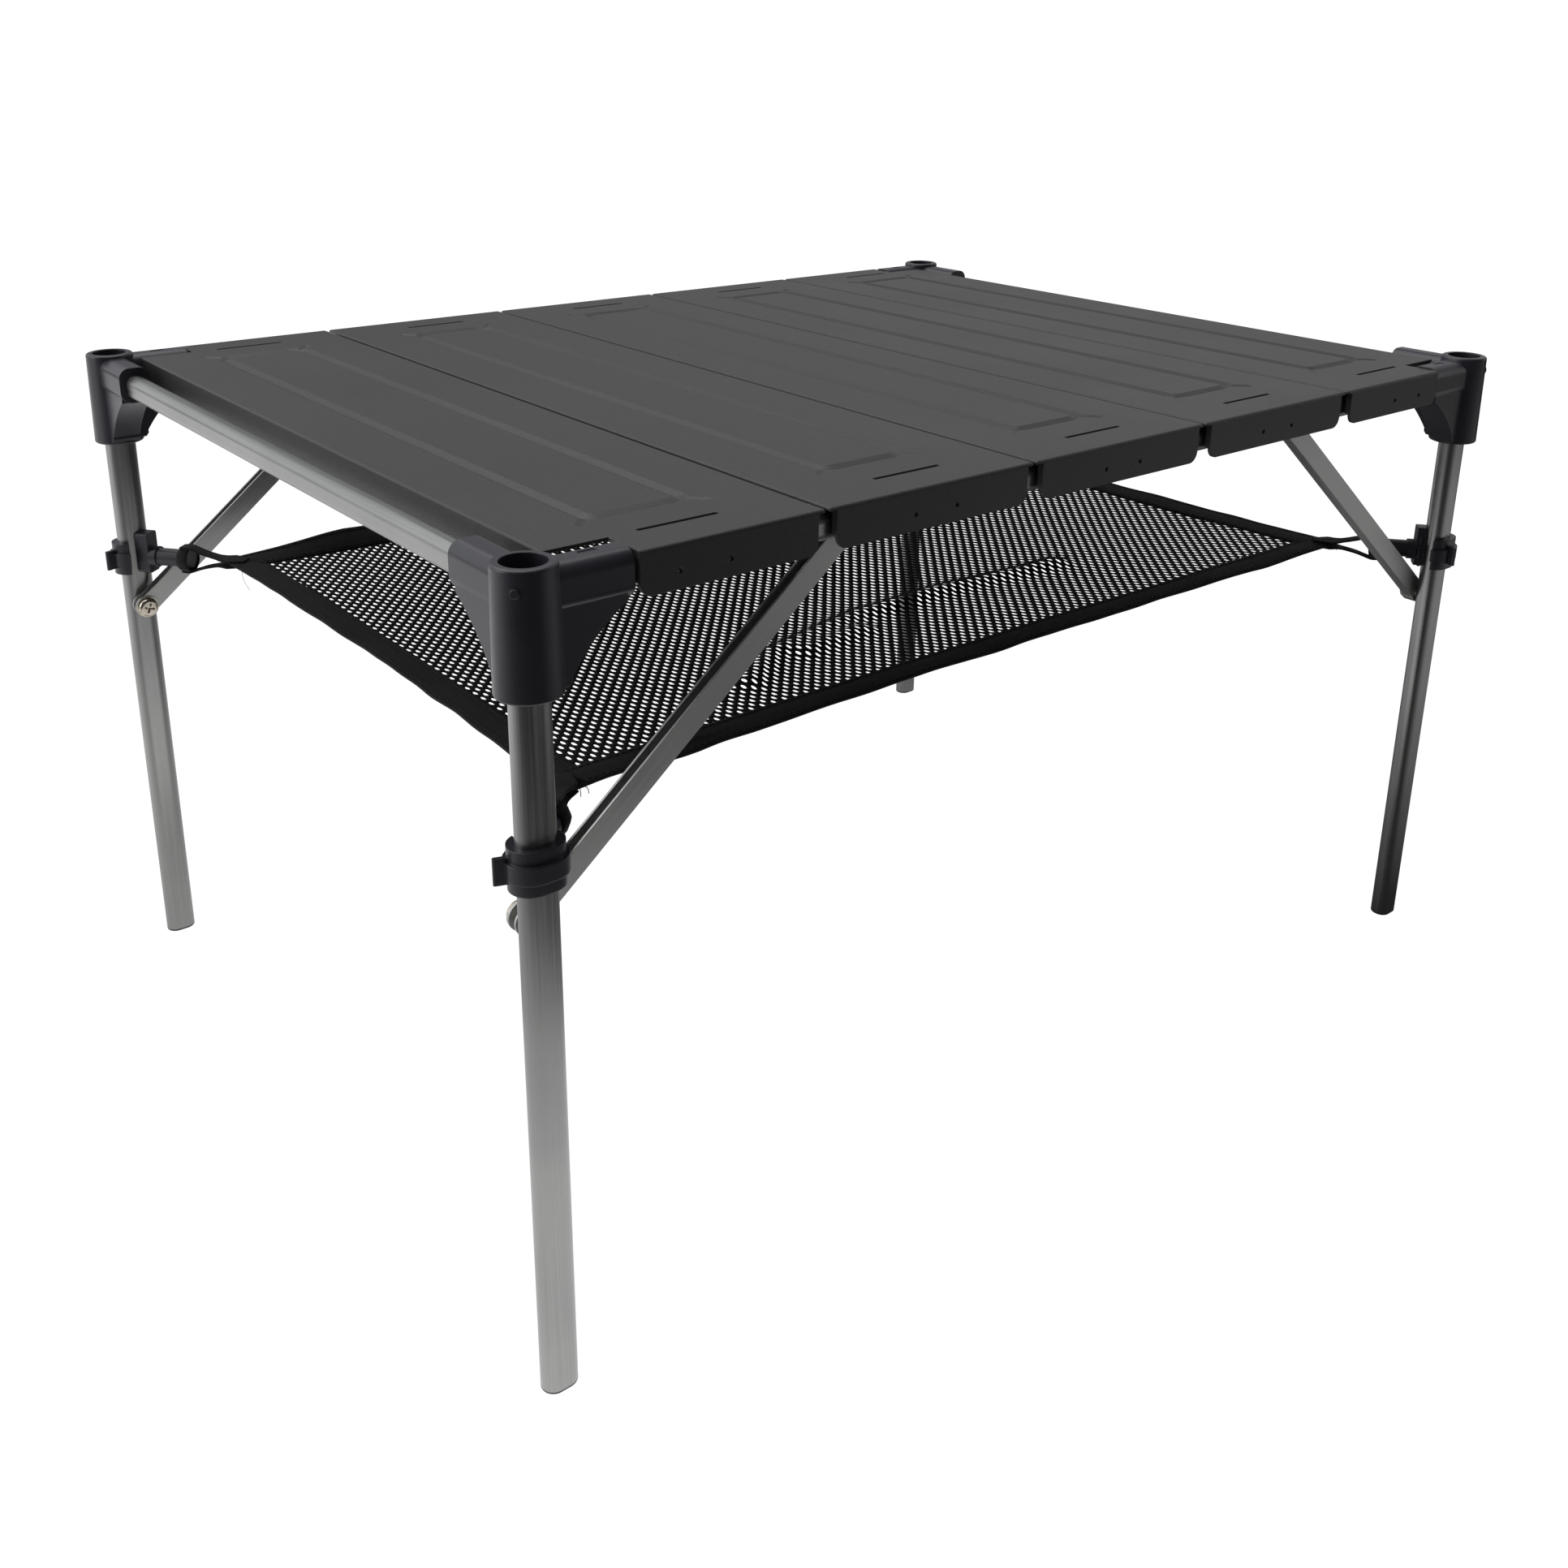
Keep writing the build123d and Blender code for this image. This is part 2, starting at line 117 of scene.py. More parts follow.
def add_floor():
    """White sweep to the eye; for light and reflections it glows only in places."""
    size = FLOOR_SIZE
    corners = [(-size, -size, 0), (size, -size, 0), (size, size, 0), (-size, size, 0)]
    floor = add_mesh("floor", corners, [(0, 1, 2, 3)], smooth=False)
    material = bpy.data.materials.new("floor_paper")
    material.use_nodes = True
    tree = material.node_tree
    tree.nodes.clear()
    glow = add_node(tree, "ShaderNodeEmission")
    add_glows(tree, "Object", "DISTANCE", FLOOR_DIM, FLOOR_GLOWS, glow.inputs["Strength"])
    add_seen_white(tree, glow, "ShaderNodeOutputMaterial", "ShaderNodeEmission")
    floor.data.materials.append(material)


def add_glows(tree, coordinate, measure, dim, glows, socket):
    """Strength that rises from dim where each glow is, by distance or by direction."""
    coords = add_node(tree, "ShaderNodeTexCoord")
    total = None
    for place, strength, full, faded in glows:
        near = add_node(tree, "ShaderNodeVectorMath", operation=measure)
        near.inputs[1].default_value = place
        tree.links.new(coords.outputs[coordinate], near.inputs[0])
        glow = spread(tree, near.outputs["Value"], strength, 0.0, full, faded)
        if total is None:
            total = glow
        else:
            both = add_node(tree, "ShaderNodeMath", operation="ADD")
            tree.links.new(total, both.inputs[0])
            tree.links.new(glow, both.inputs[1])
            total = both.outputs["Value"]
    tree.links.new(spread(tree, total, dim, dim + 1.0, 0.0, 1.0), socket)


def add_seen_white(tree, unseen, output_kind, white_kind):
    """Pure white wherever the eye meets the surface itself, the given shader elsewhere."""
    out = add_node(tree, output_kind)
    mix = add_node(tree, "ShaderNodeMixShader")
    path = add_node(tree, "ShaderNodeLightPath")
    white = add_node(tree, white_kind, Color=(1, 1, 1, 1), Strength=SEEN_WHITE)
    tree.links.new(path.outputs["Is Camera Ray"], mix.inputs[0])
    tree.links.new(unseen.outputs[0], mix.inputs[1])
    tree.links.new(white.outputs[0], mix.inputs[2])
    tree.links.new(mix.outputs[0], out.inputs["Surface"])


def add_world():
    """White backdrop; for light and reflections a dim surround with two brighter parts."""
    world = bpy.data.worlds.new("surround")
    bpy.context.scene.world = world
    world.use_nodes = True
    tree = world.node_tree
    tree.nodes.clear()
    dim = add_node(tree, "ShaderNodeBackground", Color=(0.97, 0.98, 1.0, 1))
    add_glows(tree, "Generated", "DOT_PRODUCT", SKY_DIM, SKY_GLOWS, dim.inputs["Strength"])
    add_seen_white(tree, dim, "ShaderNodeOutputWorld", "ShaderNodeBackground")


def add_softbox(name, place, target, size, power, tint=(1, 1, 1)):
    """Rectangular area light aimed at a point."""
    data = bpy.data.lights.new(name, "AREA")
    data.shape = "RECTANGLE"
    data.size, data.size_y = size
    data.energy = power
    data.color = tint
    light = bpy.data.objects.new(name, data)
    light.location = place
    aim = Vector(target) - Vector(place)
    light.rotation_euler = aim.to_track_quat("-Z", "Y").to_euler()
    bpy.context.scene.collection.objects.link(light)


def add_lights():
    add_softbox("softbox_top", (-0.3, 0.5, 2.1), (0, 0, 0.3), (2.4, 2.0), 27)
    add_softbox("softbox_left", (-2.3, 0.7, 0.9), (0, 0, 0.25), (1.2, 1.6), 10)
    add_softbox("softbox_right", (2.0, -1.3, 0.8), (0, 0, 0.2), (0.35, 1.4), 2)


# ---- shader building ----
def add_node(tree, kind, **values):
    """New shader node with its named inputs and properties set."""
    node = tree.nodes.new(kind)
    for key, value in values.items():
        if key in node.inputs:
            node.inputs[key].default_value = value
        else:
            setattr(node, key, value)
    return node


def grain(tree, scale, detail=3.0, stretch=(1, 1, 1), turn=0.0):
    """Noise over the object's own coordinates, turned about Y and then stretched."""
    coords = add_node(tree, "ShaderNodeTexCoord")
    rotate = add_node(tree, "ShaderNodeVectorRotate", rotation_type="Y_AXIS", Angle=turn)
    mapping = add_node(tree, "ShaderNodeMapping", Scale=stretch)
    texture = add_node(tree, "ShaderNodeTexNoise", Scale=scale, Detail=detail)
    tree.links.new(coords.outputs["Object"], rotate.inputs["Vector"])
    tree.links.new(rotate.outputs["Vector"], mapping.inputs["Vector"])
    tree.links.new(mapping.outputs["Vector"], texture.inputs["Vector"])
    return texture.outputs["Fac"]


def spread(tree, source, low, high, start=0.3, end=0.7):
    """A number that goes from low to high as the source goes from start to end."""
    node = add_node(tree, "ShaderNodeMapRange")
    node.inputs["From Min"].default_value = start
    node.inputs["From Max"].default_value = end
    node.inputs["To Min"].default_value = low
    node.inputs["To Max"].default_value = high
    tree.links.new(source, node.inputs["Value"])
    return node.outputs["Result"]


def shades(tree, source, dark, light, start=0.3, end=0.7):
    """A colour between two shades."""
    node = add_node(tree, "ShaderNodeValToRGB")
    node.color_ramp.elements[0].position = start
    node.color_ramp.elements[1].position = end
    node.color_ramp.elements[0].color = (*dark, 1)
    node.color_ramp.elements[1].color = (*light, 1)
    tree.links.new(source, node.inputs["Fac"])
    return node.outputs["Color"]


def bumps(tree, layers, edge_radius):
    """Bump layers, each (height, depth in metres), over edges softened by a radius."""
    edge = add_node(tree, "ShaderNodeBevel", Radius=edge_radius, samples=4)
    normal = edge.outputs["Normal"]
    for height, depth in layers:
        bump = add_node(tree, "ShaderNodeBump", Strength=1.0, Distance=depth)
        tree.links.new(height, bump.inputs["Height"])
        tree.links.new(normal, bump.inputs["Normal"])
        normal = bump.outputs["Normal"]
    return normal


def edge_wear(tree, radius):
    """Near 1 on sharp edges, 0 on flat faces."""
    edge = add_node(tree, "ShaderNodeBevel", Radius=radius, samples=6)
    flat = add_node(tree, "ShaderNodeNewGeometry")
    dot = add_node(tree, "ShaderNodeVectorMath", operation="DOT_PRODUCT")
    tree.links.new(edge.outputs["Normal"], dot.inputs[0])
    tree.links.new(flat.outputs["Normal"], dot.inputs[1])
    return spread(tree, dot.outputs["Value"], 1.0, 0.0, 0.80, 0.99)


def new_material(name):
    material = bpy.data.materials.new(name)
    material.use_nodes = True
    tree = material.node_tree
    return material, tree, tree.nodes["Principled BSDF"]


def mix_colours(tree, factor, first, second):
    """Second colour over the first, by a factor."""
    node = add_node(tree, "ShaderNodeMix", data_type="RGBA")
    tree.links.new(factor, node.inputs["Factor"])
    tree.links.new(first, node.inputs["A"])
    node.inputs["B"].default_value = (*second, 1)
    return node.outputs["Result"]


# ---- materials ----
# scale of the die lines along a tube and across it, and the braces' rise above level
LINE_ALONG = 12
LINE_ACROSS = 1600
BRACE_RISE = math.radians(39.2)


def powder_coat():
    """Charcoal powder coat: fine grit, faint mottling, paler on the worn folds."""
    material, tree, shader = new_material("powder_coat")
    grit = grain(tree, 1500, 2.0)
    peel = grain(tree, 260, 2.0)
    cloud = grain(tree, 9, 4.0)
    colour = shades(tree, cloud, (0.034, 0.0327, 0.0323), (0.043, 0.0413, 0.0404))
    speckle = add_node(tree, "ShaderNodeMix", data_type="RGBA", blend_type="MULTIPLY")
    speckle.inputs["Factor"].default_value = 1.0
    tree.links.new(colour, speckle.inputs["A"])
    tree.links.new(
        shades(tree, grit, (0.78, 0.78, 0.78), (1.2, 1.2, 1.2)), speckle.inputs["B"]
    )
    worn = mix_colours(
        tree, spread(tree, edge_wear(tree, 0.0008), 0.0, 0.35, 0.0, 1.0),
        speckle.outputs["Result"], (0.13, 0.125, 0.12),
    )
    tree.links.new(worn, shader.inputs["Base Color"])
    tree.links.new(spread(tree, cloud, 0.38, 0.46), shader.inputs["Roughness"])
    shader.inputs["Specular IOR Level"].default_value = 0.42
    normal = bumps(tree, ((grit, 0.00008), (peel, 0.00008)), 0.0008)
    tree.links.new(normal, shader.inputs["Normal"])
    return material


def moulded_plastic():
    """Blue-black nylon with a fine spark finish and paler rubbed edges."""
    material, tree, shader = new_material("moulded_plastic")
    spark = grain(tree, 2200, 2.0)
    flow = grain(tree, 22, 4.0)
    colour = shades(tree, flow, (0.0225, 0.0227, 0.0310), (0.0320, 0.0324, 0.0430))
    worn = mix_colours(
        tree, spread(tree, edge_wear(tree, 0.0009), 0.0, 0.3, 0.0, 1.0),
        colour, (0.05, 0.052, 0.062),
    )
    tree.links.new(worn, shader.inputs["Base Color"])
    tree.links.new(spread(tree, flow, 0.27, 0.38), shader.inputs["Roughness"])
    normal = bumps(tree, ((spark, 0.00003), (flow, 0.0002)), 0.0008)
    tree.links.new(normal, shader.inputs["Normal"])
    return material


def anodised_tube(name, stretch, turn=0.0, smooth=0.27, dull=0.38, tone=1.0):
    """Satin grey anodised aluminium, its die lines running along the tube.

    smooth and dull are its lowest and highest roughness; tone scales the grey.
    """
    material, tree, shader = new_material(name)
    lines = grain(tree, 1.0, 3.0, stretch, turn)
    cloud = grain(tree, 14, 4.0)
    dark = [tone * value for value in (0.30, 0.305, 0.30)]
    light = [tone * value for value in (0.36, 0.365, 0.355)]
    colour = shades(tree, cloud, dark, light)
    brushed = add_node(tree, "ShaderNodeMix", data_type="RGBA", blend_type="MULTIPLY")
    brushed.inputs["Factor"].default_value = 1.0
    tree.links.new(colour, brushed.inputs["A"])
    tree.links.new(
        shades(tree, lines, (0.88, 0.88, 0.88), (1.06, 1.06, 1.06)), brushed.inputs["B"]
    )
    worn = mix_colours(
        tree, spread(tree, edge_wear(tree, 0.0006), 0.0, 0.5, 0.0, 1.0),
        brushed.outputs["Result"], (0.66, 0.66, 0.65),
    )
    tree.links.new(worn, shader.inputs["Base Color"])
    tree.links.new(spread(tree, lines, smooth, dull), shader.inputs["Roughness"])
    shader.inputs["Metallic"].default_value = 1.0
    normal = bumps(tree, ((lines, 0.000012),), 0.0004)
    tree.links.new(normal, shader.inputs["Normal"])
    return material


def plated_steel():
    """Bright zinc plate with faint blotches."""
    material, tree, shader = new_material("plated_steel")
    blotch = grain(tree, 420, 4.0)
    colour = shades(tree, blotch, (0.42, 0.37, 0.30), (0.72, 0.66, 0.57))
    tree.links.new(colour, shader.inputs["Base Color"])
    tree.links.new(spread(tree, blotch, 0.12, 0.26), shader.inputs["Roughness"])
    shader.inputs["Metallic"].default_value = 1.0
    normal = bumps(tree, ((blotch, 0.00004),), 0.0003)
    tree.links.new(normal, shader.inputs["Normal"])
    return material


def weave(tree, scale, turn=0.0):
    """Crossed bands of a plain weave, as a height."""
    coords = add_node(tree, "ShaderNodeTexCoord")
    rotate = add_node(tree, "ShaderNodeVectorRotate", rotation_type="Z_AXIS", Angle=turn)
    tree.links.new(coords.outputs["Object"], rotate.inputs["Vector"])
    height = None
    for direction in ("X", "Y"):
        wave = add_node(tree, "ShaderNodeTexWave", bands_direction=direction, Scale=scale)
        wave.inputs["Distortion"].default_value = 0.6
        wave.inputs["Detail Scale"].default_value = 3.0
        tree.links.new(rotate.outputs["Vector"], wave.inputs["Vector"])
        if height is None:
            height = wave.outputs["Fac"]
        else:
            join = add_node(tree, "ShaderNodeMath", operation="MULTIPLY")
            tree.links.new(height, join.inputs[0])
            tree.links.new(wave.outputs["Fac"], join.inputs[1])
            height = join.outputs["Value"]
    return height


def black_fabric(name, scale, dark, light, turn=0.0, sheen=0.15):
    """Black polyester with a visible weave, a little lint and a soft sheen."""
    material, tree, shader = new_material(name)
    threads = weave(tree, scale, turn)
    lint = grain(tree, 700, 3.0)
    colour = mix_colours(
        tree, spread(tree, lint, 0.0, 0.25, 0.62, 0.80),
        shades(tree, threads, dark, light, 0.1, 0.9), (0.05, 0.05, 0.055),
    )
    tree.links.new(colour, shader.inputs["Base Color"])
    tree.links.new(spread(tree, threads, 0.80, 0.66, 0.0, 1.0), shader.inputs["Roughness"])
    shader.inputs["Specular IOR Level"].default_value = 0.25
    shader.inputs["Sheen Weight"].default_value = sheen
    shader.inputs["Sheen Roughness"].default_value = 0.5
    shader.inputs["Sheen Tint"].default_value = (0.5, 0.5, 0.55, 1)
    normal = bumps(tree, ((threads, 0.00018), (lint, 0.00008)), 0.0002)
    tree.links.new(normal, shader.inputs["Normal"])
    return material


def sewing_thread(name, dark, light):
    """Twisted polyester thread."""
    material, tree, shader = new_material(name)
    twist = grain(tree, 1800, 2.0)
    tree.links.new(shades(tree, twist, dark, light), shader.inputs["Base Color"])
    tree.links.new(spread(tree, twist, 0.45, 0.60), shader.inputs["Roughness"])
    tree.links.new(bumps(tree, ((twist, 0.00005),), 0.0001), shader.inputs["Normal"])
    return material


def dress(nodes, material):
    """Give CAD nodes a material in every slot."""
    for name in nodes:
        for material_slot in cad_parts[name].material_slots:
            material_slot.material = material


def dress_cad_parts():
    plastic = moulded_plastic()
    steel = plated_steel()
    along_x = (LINE_ALONG, LINE_ACROSS, LINE_ACROSS)
    along_y = (LINE_ACROSS, LINE_ALONG, LINE_ACROSS)
    along_z = (LINE_ACROSS, LINE_ACROSS, LINE_ALONG)
    dress([f"slat_{number}" for number in range(1, 6)], powder_coat())
    dress(["rail_front", "rail_rear"], anodised_tube("anodised_rail_x", along_x))
    dress(["rail_left", "rail_right"], anodised_tube("anodised_rail_y", along_y))
    upright = anodised_tube("anodised_leg", along_z)
    for corner, (side, _) in CORNERS.items():
        dress([f"connector_{corner}", f"foot_plug_{corner}", f"net_clip_{corner}"], plastic)
        dress([f"leg_{corner}"], upright)
        dress([f"pivot_screw_{corner}", f"pivot_washers_{corner}"], steel)
        channel = anodised_tube(
            f"anodised_brace_{corner}", along_x, -side * BRACE_RISE,
            smooth=0.42, dull=0.54, tone=1.6,
        )
        dress([f"brace_{corner}"], channel)


# ---- storage net ----
# in widths of the binding: how far in from the net's edge the mesh stops, and how much
# the outer edges of the rear and front bindings are raised
HEM_WIDTH = 0.020
MESH_STOP = 0.55
REAR_TILT = 0.34
FRONT_TILT = -0.09
OUTLINE_STEPS = 150
EDGE_BOW = 0.006
PITCH_X = 0.0072
PITCH_Y = 0.0084
HOLE_X = 0.00088
HOLE_Y = 0.00242
SAG = 0.008
FOLD_HEIGHT = 0.0034
FOLD_WIDTH = 0.0085
THREAD = 0.00032

low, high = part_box("net_hem")
NET_X = high.x
NET_Y = high.y
NET_Z = (low.z + high.z) / 2

# soft folds that cross the front half of the net, from left to right
FOLDS = (
    ((-0.150, -0.146), (-0.113, -0.119), (-0.031, -0.098), (0.049, -0.099), (0.130, -0.106)),
    ((-0.096, -0.129), (-0.050, -0.121)),
)


def to_line(x, y, line):
    """Distance from a point to a run of straight pieces, less near its ends."""
    nearest = 1.0
    point = Vector((x, y))
    for first, last in zip(line, line[1:]):
        start, run = Vector(first), Vector(last) - Vector(first)
        along = min(1.0, max(0.0, (point - start).dot(run) / run.length_squared))
        nearest = min(nearest, (point - start - along * run).length)
    return nearest


def edge_half_width(x, half, bow, reach):
    """Half width of the net at a place along the other side; the edges are hollow."""
    return half - bow * (1 - (x / reach) ** 2)


def net_height(x, y):
    """Height of the hung net: a shallow sag, folds, and small uneven waves."""
    across, along = x / NET_X, y / NET_Y
    height = NET_Z - SAG * max(0.0, (1 - across**2) * (1 - along**2)) ** 0.8
    for line in FOLDS:
        height += FOLD_HEIGHT * math.exp(-((to_line(x, y, line) / FOLD_WIDTH) ** 2))
    calm = max(0.0, (1 - across**2) * (1 - along**2))
    height += 0.0026 * calm * noise.noise(Vector((x * 14, y * 9, 3.1)))
    return height


def cell_border():
    """Points round a hole's six-sided cell; neighbours share the ones between them."""
    half, rise = PITCH_X / 2, PITCH_Y / 2
    peak = (half**2 + rise**2) / (2 * rise)
    shoulder = peak - half**2 / rise
    corners = [
        Vector((half, shoulder)), Vector((0, peak)), Vector((-half, shoulder)),
        Vector((-half, -shoulder)), Vector((0, -peak)), Vector((half, -shoulder)),
    ]
    border = []
    for start, end in zip(corners, corners[1:] + corners[:1]):
        border.append(start)
        if start.x != end.x:
            border.append((start + end) / 2)
    return border


def build_net():
    """Knitted mesh with oval holes in staggered rows, built as one open sheet."""
    points, faces, index = [], [], {}

    def place(x, y, lift):
        key = (round(x * 1e5), round(y * 1e5), lift)
        if key not in index:
            index[key] = len(points)
            points.append((x, y, net_height(x, y) + (THREAD if lift else -THREAD)))
        return index[key]

    border = cell_border()
    sides = len(border)
    rim = []
    for place_on_border in border:
        angle = math.atan2(place_on_border.y / PITCH_Y, place_on_border.x / PITCH_X)
        rim.append((math.cos(angle) * HOLE_X, math.sin(angle) * HOLE_Y))
    rows = int(2 * NET_Y / (PITCH_Y / 2)) + 2
    columns = int(2 * NET_X / PITCH_X) + 2
    inner_x, inner_y = NET_X - HEM_WIDTH * MESH_STOP, NET_Y - HEM_WIDTH * MESH_STOP
    for row in range(-rows // 2, rows // 2 + 1):
        for column in range(-columns // 2, columns // 2 + 1):
            x = column * PITCH_X + (row % 2) * PITCH_X / 2
            y = row * PITCH_Y / 2
            if abs(x) > edge_half_width(y, inner_x, EDGE_BOW, NET_Y):
                continue
            if abs(y) > edge_half_width(x, inner_y, EDGE_BOW, NET_X):
                continue
            uneven = 1 + 0.07 * noise.noise(Vector((x * 90, y * 90, 7.7)))
            hole = [place(x + out_x * uneven, y + out_y * uneven, False) for out_x, out_y in rim]
            outer = [place(x + point.x, y + point.y, True) for point in border]
            for step in range(sides):
                after = (step + 1) % sides
                faces.append((hole[step], outer[step], outer[after], hole[after]))
    net = add_mesh("net_panel", points, faces)
    net.data.materials.append(
        black_fabric("net_mesh", 900, (0.004, 0.004, 0.0045), (0.012, 0.012, 0.013))
    )
    return net


def outline(steps):
    """Points round the net's outer edge, with the direction that faces inwards."""
    corners = [(-1, -1), (1, -1), (1, 1), (-1, 1)]
    path = []
    for number, (start_x, start_y) in enumerate(corners):
        end_x, end_y = corners[(number + 1) % 4]
        for step in range(steps):
            along = step / steps
            x = NET_X * (start_x + (end_x - start_x) * along)
            y = NET_Y * (start_y + (end_y - start_y) * along)
            bow = EDGE_BOW * 4 * along * (1 - along)
            if start_y == end_y:
                y -= start_y * bow
                inward = Vector((0, -start_y))
            else:
                x -= start_x * bow
                inward = Vector((-start_x, 0))
            if step == 0:
                inward = Vector((-start_x, -start_y))
            path.append((Vector((x, y)), inward))
    return path


def hem_section():
    """Cross-section of the folded binding: distance inwards, height."""
    half = 0.0009
    width = HEM_WIDTH
    return [
        (0.0, 0.0), (0.0003, half * 0.8), (0.0012, half * 1.15), (0.0030, half * 0.72),
        (0.0060, half * 1.1), (width / 2, half * 1.25), (width - 0.0060, half * 1.1),
        (width - 0.0030, half * 0.68), (width - 0.0012, half), (width, half * 0.5),
        (width, -half * 0.5), (width - 0.0012, -half), (width - 0.0030, -half * 0.68),
        (width - 0.0060, -half * 1.1), (width / 2, -half * 1.25), (0.0060, -half * 1.1),
        (0.0030, -half * 0.72), (0.0012, -half * 1.15), (0.0003, -half * 0.8),
    ]


def hem_point(edge, inward, depth, height):
    """A point of the hem, with its uneven edge, small waves and tilt."""
    ripple = noise.noise(Vector((edge.x * 38, edge.y * 38, 1.3)))
    wave = noise.noise(Vector((edge.x * 24, edge.y * 24, 5.9)))
    outer = 1 - depth / HEM_WIDTH
    place = edge + inward * (depth + 0.0011 * outer * (ripple + 0.6))
    lift = net_height(edge.x + inward.x * HEM_WIDTH, edge.y + inward.y * HEM_WIDTH)
    z = lift + (NET_Z - lift) * outer
    z += 0.0011 * outer * wave
    if abs(inward.x) < 0.5:
        near_corner = min(1.0, (NET_X - abs(edge.x)) / 0.08)
        z += near_corner * outer * HEM_WIDTH * (REAR_TILT if edge.y > 0 else FRONT_TILT)
    return Vector((place.x, place.y, z + height))


def build_hem():
    """Folded binding round the net, mitred at the corners."""
    section = hem_section()
    path = outline(OUTLINE_STEPS)
    points, faces = [], []
    for edge, inward in path:
        for depth, height in section:
            points.append(hem_point(edge, inward, depth, height))
    count = len(section)
    for number in range(len(path)):
        after = (number + 1) % len(path)
        for step in range(count):
            other = (step + 1) % count
            faces.append((
                number * count + step, number * count + other,
                after * count + other, after * count + step,
            ))
    hem = add_mesh("net_binding", points, faces)
    hem.data.materials.append(
        black_fabric("binding_tape", 620, (0.006, 0.006, 0.0065), (0.015, 0.015, 0.0165))
    )
    return hem


def add_tube(points, faces, line, radius, sides=6):
    """Append a thin closed tube along a few points."""
    first = len(points)
    for number, place in enumerate(line):
        ahead = line[min(number + 1, len(line) - 1)] - line[max(number - 1, 0)]
        side = ahead.cross(Vector((0.31, 0.17, 0.93))).normalized()
        up = side.cross(ahead).normalized()
        for step in range(sides):
            angle = 2 * math.pi * step / sides
            points.append(place + radius * (math.cos(angle) * side + math.sin(angle) * up))
    for number in range(len(line) - 1):
        base = first + number * sides
        for step in range(sides):
            other = (step + 1) % sides
            faces.append((base + step, base + other, base + sides + other, base + sides + step))
    faces.append(tuple(first + step for step in reversed(range(sides))))
    last = first + (len(line) - 1) * sides
    faces.append(tuple(last + step for step in range(sides)))


STITCH_INSET = 0.0030
STITCH_RADIUS = 0.00026


def build_stitching():
    """Two rows of lockstitch on each face of the binding."""
    points, faces = [], []
    path = outline(OUTLINE_STEPS)
    for number in range(len(path)):
        edge, inward = path[number]
        next_edge, next_inward = path[(number + 1) % len(path)]
        if inward != next_inward:
            continue
        for depth, height in ((STITCH_INSET, 0.00072), (HEM_WIDTH - STITCH_INSET, 0.00068)):
            for face in (1, -1):
                start = hem_point(edge, inward, depth, face * height)
                end = hem_point(next_edge, next_inward, depth, face * height)
                lift = Vector((0, 0, face * 0.00022))
                line = [
                    start.lerp(end, 0.10), start.lerp(end, 0.30) + lift,
                    start.lerp(end, 0.70) + lift, start.lerp(end, 0.90),
                ]
                add_tube(points, faces, line, STITCH_RADIUS, 5)
    stitching = add_mesh("binding_stitching", points, faces)
    stitching.data.materials.append(
        sewing_thread("black_thread", (0.012, 0.012, 0.013), (0.035, 0.035, 0.038))
    )
    return stitching


def build_thread_ends():
    """Loose ends of sewing thread at three of the corners."""
    points, faces = [], []
    rng = random.Random(11)
    for side_x, side_y in ((-1, -1), (-1, -1), (-1, -1), (1, -1), (-1, 1)):
        start = Vector((
            side_x * (NET_X - rng.uniform(0.002, 0.022)),
            side_y * (NET_Y - rng.uniform(0.0005, 0.002)), NET_Z - 0.0004,
        ))
        drop = rng.uniform(0.002, 0.004)
        sway = Vector((rng.uniform(-0.003, 0.003), side_y * rng.uniform(0.001, 0.002), 0))
        line = [
            start + sway * t * (2 - t) - Vector((0, 0, drop * t * t)) for t in (0, 0.3, 0.6, 1.0)
        ]
        add_tube(points, faces, line, 0.00022, 5)
    ends = add_mesh("thread_ends", points, faces)
    ends.data.materials.append(bpy.data.materials["black_thread"])
    return ends


def build_pale_thread():
    """A finer pale thread that hangs in a curve from the rear-left corner."""
    start = Vector((-NET_X + 0.009, NET_Y - 0.0135, NET_Z - 0.0008))
    line = []
    for step in range(13):
        t = step / 12
        line.append(start + Vector((-0.004 * math.sin(2.6 * t), -0.012 * t, -0.013 * t**1.6)))
    points, faces = [], []
    add_tube(points, faces, line, 0.00014, 5)
    thread = add_mesh("pale_thread", points, faces)
    thread.data.materials.append(
        sewing_thread("pale_thread", (0.45, 0.44, 0.42), (0.62, 0.60, 0.58))
    )
    return thread


# ---- webbing loops at the net's corners ----
LOOP_WIDTH = 0.0080
LOOP_THICK = 0.0012


def ribbon(points, faces, line, widths, sideways):
    """Append a flat strap with rounded edges along a line of (along, height) pairs."""
    profile = ((-0.5, 0.0), (-0.47, 0.42), (-0.36, 0.5), (0.36, 0.5), (0.47, 0.42),
               (0.5, 0.0), (0.47, -0.42), (0.36, -0.5), (-0.36, -0.5), (-0.47, -0.42))
    count, first = len(profile), len(points)
    for number, place in enumerate(line):
        ahead = line[min(number + 1, len(line) - 1)] - line[max(number - 1, 0)]
        out = sideways.cross(ahead).normalized()
        for across, thick in profile:
            points.append(
                place + sideways * across * widths[number] + out * thick * LOOP_THICK
            )
    for number in range(len(line) - 1):
        base = first + number * count
        for step in range(count):
            other = (step + 1) % count
            faces.append((base + step, base + other, base + count + other, base + count + step))
    faces.append(tuple(first + step for step in reversed(range(count))))
    last = first + (len(line) - 1) * count
    faces.append(tuple(last + step for step in range(count)))


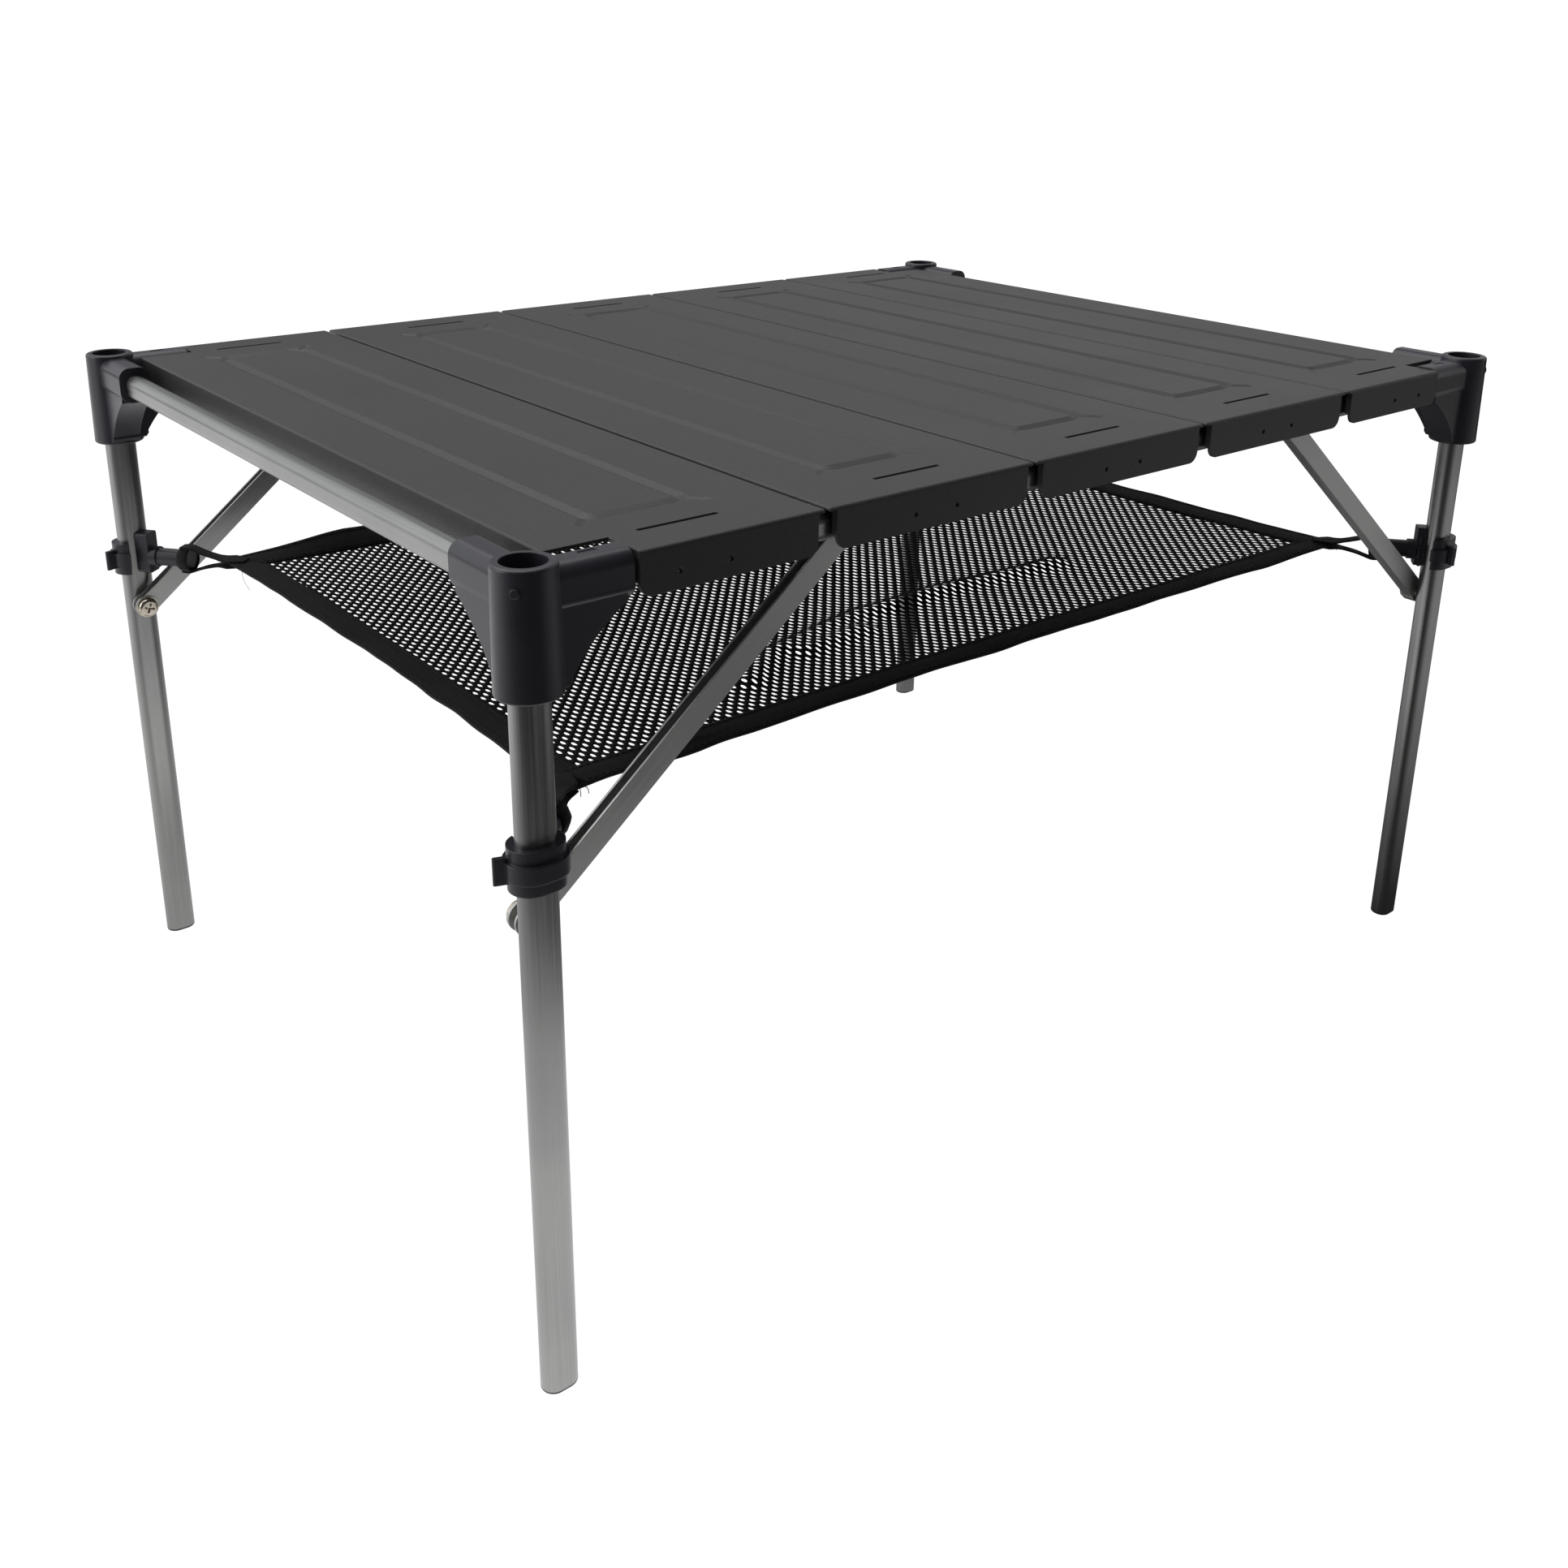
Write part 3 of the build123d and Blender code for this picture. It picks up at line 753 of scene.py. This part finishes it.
def smooth_line(control, steps):
    """Catmull-Rom line through control points."""
    line = []
    padded = [control[0]] + list(control) + [control[-1]]
    for a, b, c, d in zip(padded, padded[1:], padded[2:], padded[3:]):
        for step in range(steps):
            t = step / steps
            line.append(0.5 * (
                2 * b + (c - a) * t + (2 * a - 5 * b + 4 * c - d) * t**2
                + (3 * b - a - 3 * c + d) * t**3
            ))
    line.append(control[-1])
    return line


def build_loop(corner, side_x, side_y, material):
    """Webbing sewn on the net's corner, forked to a band round the peg's end."""
    leg_low, leg_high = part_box(f"leg_{corner}")
    axis = (leg_low + leg_high) / 2
    run = Vector((side_x * NET_X - axis.x, side_y * NET_Y - axis.y, 0))
    tip = run.length
    inward = run.normalized()
    sideways = inward.cross(Vector((0, 0, 1)))

    def at(along, height):
        return Vector((axis.x, axis.y, NET_Z)) + inward * along + Vector((0, 0, height))

    points, faces = [], []
    for face in (1, -1):
        control = [
            at(0.0345, face * 0.0078), at(0.0380, face * 0.0081), at(0.0412, face * 0.0077),
            at(0.0500, face * 0.0046), at(tip, face * 0.0022), at(tip + 0.006, face * 0.0019),
            at(tip + 0.012, face * 0.0018), at(tip + 0.017, face * 0.0017),
        ]
        line = smooth_line(control, 6)
        widths = []
        for place in line:
            along = (place - at(0, 0)).dot(inward)
            spread_out = max(0.0, 1 - abs(along - tip - 0.007) / 0.009)
            uneven = 1.0 + 0.06 * noise.noise(place * 60)
            widths.append(LOOP_WIDTH * (uneven + 0.9 * spread_out))
        ribbon(points, faces, line, widths, sideways)
    add_band(points, faces, at, sideways)
    loop = add_mesh(f"webbing_loop_{corner}", points, faces)
    loop.data.materials.append(material)
    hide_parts(f"net_loop_{corner}")
    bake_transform(loop)


def add_band(points, faces, at, sideways):
    """Append the closed band of webbing round a peg's end, tighter behind its flange."""
    section = (
        (0.0332, 0.0060), (0.0331, 0.0068), (0.0336, 0.0073), (0.0356, 0.0083),
        (0.0380, 0.0085), (0.0402, 0.0084), (0.0409, 0.0079), (0.0409, 0.0074),
        (0.0402, 0.0072), (0.0366, 0.0072), (0.0362, 0.0062), (0.0345, 0.0060),
    )
    steps, count, first = 32, len(section), len(points)
    for number in range(steps):
        angle = 2 * math.pi * number / steps
        out = math.cos(angle) * Vector((0, 0, 1)) + math.sin(angle) * sideways
        pucker = 1 + 0.02 * math.sin(9 * angle)
        for along, radius in section:
            points.append(at(along, 0) + out * radius * pucker)
    for number in range(steps):
        base, after = first + number * count, first + ((number + 1) % steps) * count
        for step in range(count):
            other = (step + 1) % count
            faces.append((base + step, after + step, after + other, base + other))


def build_soft_goods():
    net = build_net()
    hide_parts("storage_net")
    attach(net, "frame")
    hem = build_hem()
    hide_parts("net_hem")
    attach(hem, "frame")
    extras = [build_stitching(), build_thread_ends(), build_pale_thread()]
    for piece in extras:
        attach(piece, "frame")
    webbing = black_fabric(
        "webbing", 700, (0.007, 0.007, 0.0075), (0.017, 0.017, 0.0185), math.radians(45)
    )
    for corner, (side_x, side_y) in CORNERS.items():
        build_loop(corner, side_x, side_y, webbing)


bpy.context.scene.view_settings.view_transform = "Standard"
add_camera()
add_world()
add_floor()
add_lights()
dress_cad_parts()
build_soft_goods()
